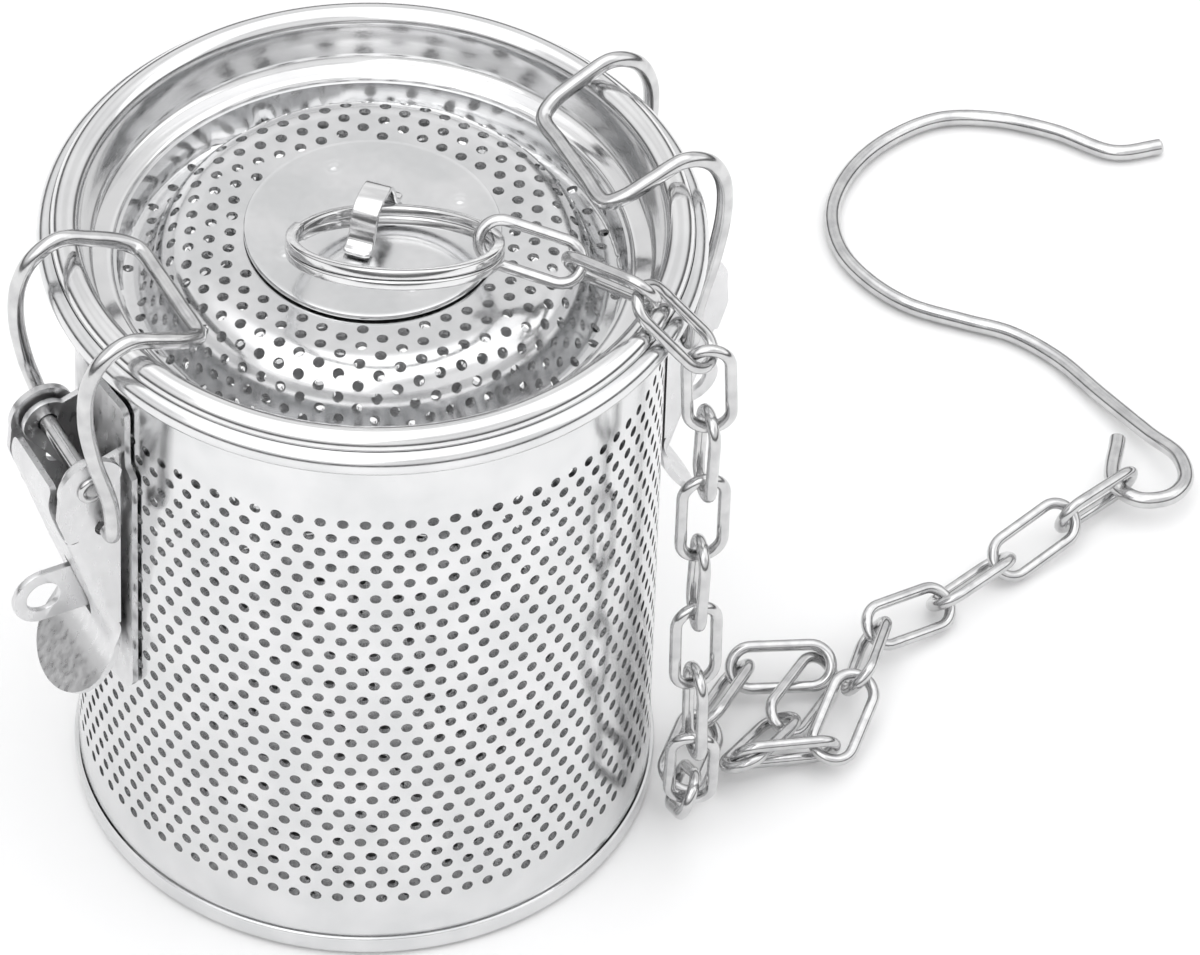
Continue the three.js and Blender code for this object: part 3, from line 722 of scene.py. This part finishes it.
def lever_web():
    """The folded sheet of the lever, and the line along which its cheeks go on."""
    s = np.r_[0, np.cumsum(np.hypot(*np.diff(WEB_LINE, axis=0).T))]
    total = s[-1]
    slot_at = float(np.interp(-TAB_LOW, -WEB_LINE[:, 1], s))
    along = np.r_[np.linspace(0, 1.0, 8), np.linspace(1.0, slot_at, 20)[1:],
                  np.linspace(slot_at, total - 2.2, 90)[1:], total - 2.2 * np.linspace(1, 0, 26)[1:] ** 1.6]
    path = np.stack([np.interp(along, s, WEB_LINE[:, 0]), np.interp(along, s, WEB_LINE[:, 1])], 1)
    slope = np.gradient(path, along, axis=0)
    slope /= np.linalg.norm(slope, axis=1)[:, None]
    back = np.stack([slope[:, 1], -slope[:, 0]], 1)  # towards the wall
    outside, inside = web_profile()
    width = [*np.cumsum(np.r_[0, np.hypot(*np.diff(np.array(outside), axis=0).T)])]
    columns = [(-1, k) for k in range(len(outside) - 1, 0, -1)] + [(1, k) for k in range(len(outside))]
    slot_row = int(np.argmin(np.abs(along - slot_at)))

    def place(i, side, k, profile, depth):
        y, d = profile[k]
        left = total - along[i]
        folded = min(max((path[i][1] - FLAT_BELOW) / FLATTEN_OVER, 0), 1)
        folded = folded * folded * (3 - 2 * folded)
        reach = CHEEK_OUT
        if left < TONGUE_LONG:
            reach = CHEEK_OUT * math.sqrt(max(0.0, 1 - ((TONGUE_LONG - left) / TONGUE_LONG) ** 2)) + 0.02
        y = folded * y + (1 - folded) * reach * width[k] / width[-1]
        d = folded * d + (1 - folded) * depth
        if along[i] < TAB_CORNER:
            rounded = math.sqrt(TAB_CORNER ** 2 - (TAB_CORNER - along[i]) ** 2)
            y *= (TAB_HALF - TAB_CORNER + rounded) / TAB_HALF
        p = path[i] + back[i] * d
        lower = 0.0
        if i == slot_row and abs(y - TAB_HALF - SLOT_HALF) < SLOT_HALF:
            lower = SLOT_HALF * math.sqrt(1 - ((y - TAB_HALF - SLOT_HALF) / SLOT_HALF) ** 2)
        p = p + slope[i] * lower
        return (p[0], side * y, p[1])

    grids = [[[place(i, side, k, profile, depth) for side, k in columns] for i in range(len(path))]
             for profile, depth in ((outside, 0.0), (inside, LATCH_SHEET))]

    def cut(i, j):
        y = max(outside[columns[j][1]][0], outside[columns[j + 1][1]][0])
        eye = y < EYE_SLOT_HALF and EYE_SLOT_LOW < path[i][1] < EYE_SLOT_HIGH
        return eye or (i < slot_row and y > TAB_HALF + 1e-6)

    joint = [(row[-1][0], row[-1][2]) for row in grids[0][slot_row:] if row[-1][2] > JOINT_LOW]
    return sheet_patch(*grids, cut), joint


def web_at(z):
    """The web's distance from the axis at a height."""
    return float(np.interp(-z, -WEB_LINE[:, 1], WEB_LINE[:, 0]))


def lever_cheeks(joint):
    """The two cheeks, from the web's folds back to the pin and the bail's holes."""
    outline = [
        *reversed(joint), *((web_at(z) - 0.15, z) for z in (57.6, 58.6, 60.0, 61.6)),
        *arc(pivot_r, pivot_z, 4.0, -10, 158, 26),
        *curve([(34.95, 65.6), (34.9, 63.0), (34.9, 52.0), (34.9, JOINT_LOW)], 5),
    ]
    outline = [tuple(map(float, p)) for p in outline]
    holes = [circle(pivot_r, pivot_z, 1.3), circle(end_r, end_z, 1.3)]
    inner = CHEEK_OUT - LATCH_SHEET
    return joined([plate(outline, inner, CHEEK_OUT, holes), plate(outline, -CHEEK_OUT, -inner, holes)])


WIRE_ROUND, LINK_ROUND = circle(0, 0, 1, 22), circle(0, 0, 1, 16)


def pin():
    """The pivot pin, with a head rolled over at each end."""
    half = [(0, 7.24), (0.8, 7.24), (1.0, 7.3), (1.15, 7.42), (1.35, 7.5), (1.6, 7.48), (1.78, 7.36),
            (1.85, 7.2), (1.85, 7.04), (1.05, 7.03)]
    outline = [*half, *[(r, -y) for r, y in reversed(half)]]
    verts, faces = lathe(outline, 36)
    return [(pivot_r + x, z, pivot_z + y) for x, y, z in verts], faces


def bail():
    """The wire bail: two legs up from the lever, over the rim, and a bar across the lid."""
    bar_r, bar_z = BAR
    half = [
        (end_r, CHEEK_OUT + 0.6, end_z), (end_r, CHEEK_OUT + 1.6, end_z),
        (end_r + 0.1, BAIL_HALF - 0.1, end_z + 0.9),
        (end_r + 0.4, BAIL_HALF, end_z + 5.6), (39.2, BAIL_HALF, 72.3), (40.2, BAIL_HALF, 79.0),
        (39.8, BAIL_HALF, 84.0), (38.0, BAIL_HALF, 87.3), (34.8, BAIL_HALF, 88.8),
        (30.8, BAIL_HALF - 0.1, 87.4),
        (bar_r + 1.9, BAR_HALF + 0.4, bar_z + 0.9), (bar_r + 0.2, BAR_HALF - 0.7, bar_z), (bar_r, 3, bar_z),
    ]
    back = [(x, -y, z) for x, y, z in reversed(half)]
    return tube(curve([*half, *back], 9), BAIL_WIRE / 2, WIRE_ROUND)


for side, turn in (("left", math.pi), ("right", 0.0)):
    web, joint = lever_web()
    piece(f"latch_pad_{side}", *latch_pad(), "latch_steel", "basket", [f"latch_base_{side}"], turn)
    bevelled(piece(f"latch_ears_{side}", *latch_ears(), "latch_steel", "basket", turn=turn))
    piece(f"lever_web_{side}", *web, "latch_steel", f"lever_{side}", [f"lever_{side}"], turn)
    piece(f"lever_cheeks_{side}", *lever_cheeks(joint), "latch_steel", f"lever_{side}", turn=turn)
    piece(f"pin_{side}", *pin(), "wire_steel", "basket", [f"pivot_pin_{side}"], turn)
    piece(f"bail_wire_{side}", *bail(), "wire_steel", f"bail_{side}", [f"bail_{side}"], turn)

# ---------------------------------------------------------------- chain and hook
LINK_END, LINK_SIDE = (LINK_WIDE - LINK_WIRE) / 2, (LINK_LONG - LINK_WIDE) / 2
WELD_PLACE = 0.26  # how far round the loop the weld is


def weld_swell(along):
    """The wire's thickness about its weld: a low bulge with a fine groove in it."""
    off = along - WELD_PLACE
    return 1 + 0.07 * math.exp(-((off / 0.012) ** 2)) - 0.06 * math.exp(-((off / 0.004) ** 2))


def link_mesh():
    """A loop of wire with a small butt weld in the middle of one side."""
    loop = [(x, y, 0) for x, y in arc(LINK_SIDE, 0, LINK_END, -90, 90, 16)]
    loop += [(x, LINK_END, 0) for x in np.linspace(LINK_SIDE, -LINK_SIDE, 20)[1:-1]]
    loop += [(x, y, 0) for x, y in arc(-LINK_SIDE, 0, LINK_END, 90, 270, 16)]
    loop += [(x, -LINK_END, 0) for x in np.linspace(-LINK_SIDE, LINK_SIDE, 20)[1:-1]]
    return tube(loop, LINK_WIRE / 2, LINK_ROUND, closed=True, swell=weld_swell)


link_verts, link_faces = link_mesh()
# each link lies along the main directions of its CAD link's points
for name in sorted(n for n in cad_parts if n.startswith("chain_link")):
    co = np.array([v.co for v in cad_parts[name].data.vertices], float)
    middle = co.mean(0)
    _, _, axes = np.linalg.svd(co - middle)
    if np.linalg.det(axes) < 0:
        axes[2] = -axes[2]
    place = Matrix.Translation(Vector(middle)) @ Matrix(axes.T.tolist()).to_4x4()
    piece(f"link_{name[-2:]}", link_verts, link_faces, "wire_steel", "lid", [name], place=place)

BOW_Z, HOOK_EYE_Z = HOOK_WIRE / 2 + 0.1, 3.65
# The same points as in part.mjs. The x and y of the first 16 came from a script that carried points picked
# in the photo onto the surface; the rest were set by hand.
HOOK_ROUTE = [
    (134.8, 49.5, BOW_Z), (129.1, 51.0, BOW_Z), (124.2, 57.5, BOW_Z), (118.4, 62.8, BOW_Z),
    (112.1, 65.7, BOW_Z), (104.4, 65.1, BOW_Z), (97.6, 62.0, BOW_Z), (92.2, 56.6, BOW_Z),
    (89.9, 49.9, BOW_Z), (90.5, 43.5, BOW_Z), (93.0, 37.6, BOW_Z), (97.8, 32.2, BOW_Z),
    (101.9, 27.9, BOW_Z), (104.9, 21.8, BOW_Z), (106.6, 13.2, 1.5), (108.1, 4.3, 2.4),
    (108.9, -2.2, HOOK_EYE_Z), (107.6, -6.0, HOOK_EYE_Z), (104.6, -7.6, HOOK_EYE_Z),
    (100.9, -6.4, HOOK_EYE_Z), (99.6, -2.6, HOOK_EYE_Z), (103.6, 3.8, HOOK_EYE_Z),
]
piece("s_hook", *tube(curve(HOOK_ROUTE, 10), HOOK_WIRE / 2, WIRE_ROUND), "wire_steel", "hook", ["hook"])

# ---------------------------------------------------------------- floor, light and camera
def flat_material(name, colour, rough):
    material = bpy.data.materials.new(name)
    material.use_nodes = True
    nodes, links = material.node_tree.nodes, material.node_tree.links
    shader = nodes["Principled BSDF"]
    shader.inputs["Roughness"].default_value = rough
    texture = nodes.new("ShaderNodeTexNoise")
    texture.inputs["Scale"].default_value = 6.0
    ramp = nodes.new("ShaderNodeValToRGB")
    ramp.color_ramp.elements[0].color = (*[c * 0.985 for c in colour], 1)
    ramp.color_ramp.elements[1].color = (*colour, 1)
    links.new(texture.outputs["Fac"], ramp.inputs["Fac"])
    links.new(ramp.outputs["Color"], shader.inputs["Base Color"])
    return material


floor_mesh = bpy.data.meshes.new("floor")
FLOOR_HALF, FLOOR_Z = 6, -0.0001  # in metres
floor_corners = [(x * FLOOR_HALF, y * FLOOR_HALF, FLOOR_Z) for x, y in ((-1, -1), (1, -1), (1, 1), (-1, 1))]
floor_mesh.from_pydata(floor_corners, [], [[0, 1, 2, 3]])
floor_mesh.materials.append(flat_material("floor_white", (0.96, 0.96, 0.96), 0.7))
floor = bpy.data.objects.new("floor", floor_mesh)
bpy.context.scene.collection.objects.link(floor)


def soft_light(name, place, size, power, aim=(0.0, 0.0, 0.04)):
    light = bpy.data.lights.new(name, "AREA")
    light.shape = "RECTANGLE"
    light.size, light.size_y = size
    light.energy = power
    lamp = bpy.data.objects.new(name, light)
    lamp.location = place
    lamp.rotation_euler = (Vector(aim) - Vector(place)).to_track_quat("-Z", "Y").to_euler()
    bpy.context.scene.collection.objects.link(lamp)


soft_light("key", (-0.9, -0.6, 1.3), (1.5, 1.2), 5)
soft_light("fill", (1.0, -0.6, 1.0), (1.0, 1.2), 2)

world = bpy.data.worlds.new("studio")
bpy.context.scene.world = world
world.use_nodes = True
tree = world.node_tree
sky = tree.nodes["Background"]
coords = tree.nodes.new("ShaderNodeTexCoord")
split = tree.nodes.new("ShaderNodeSeparateXYZ")
tones = tree.nodes.new("ShaderNodeValToRGB")
tree.links.new(coords.outputs["Generated"], split.inputs["Vector"])
tree.links.new(split.outputs["Z"], tones.inputs["Fac"])
tree.links.new(tones.outputs["Color"], sky.inputs["Color"])
ramp = tones.color_ramp
ramp.elements[0].position, ramp.elements[0].color = 0.0, (0.06, 0.06, 0.062, 1)
ramp.elements[1].position, ramp.elements[1].color = 1.0, (0.95, 0.95, 0.95, 1)
for position, tone in ((0.2, 0.1), (0.34, 0.5), (0.6, 0.54), (0.7, 0.44), (0.8, 0.54), (0.88, 0.85)):
    stop = ramp.elements.new(position)
    stop.color = (tone, tone, tone * 1.005, 1)
sky.inputs["Strength"].default_value = 1.9

# The camera looks down at 45 degrees on the left latch's side, from about 1.3 metres.
# Its values were fitted to outlines picked in the photo.
ELEVATION, ROLL, DISTANCE, TURN = 44.824, 2.095, 1.3, -28.3
LENS, SENSOR = 337.46, 36.0
target = Vector((0.02353, -0.01267, 0.04597))
e, b = math.radians(ELEVATION), math.radians(TURN)
look = Vector((-math.sin(b) * math.cos(e), math.cos(b) * math.cos(e), -math.sin(e)))
right = Vector((math.cos(b), math.sin(b), 0))
up = right.cross(look)
roll = math.radians(ROLL)
right, up = right * math.cos(roll) + up * math.sin(roll), up * math.cos(roll) - right * math.sin(roll)
camera = bpy.data.objects.new("camera", bpy.data.cameras.new("camera"))
camera.data.sensor_width = SENSOR
camera.data.lens = LENS
camera.data.clip_end = 20.0
facing = Matrix((right, up, -look)).transposed().to_4x4()
camera.matrix_world = Matrix.Translation(target - look * DISTANCE) @ facing
bpy.context.scene.collection.objects.link(camera)
bpy.context.scene.camera = camera
bpy.context.scene.view_settings.view_transform = "Standard"
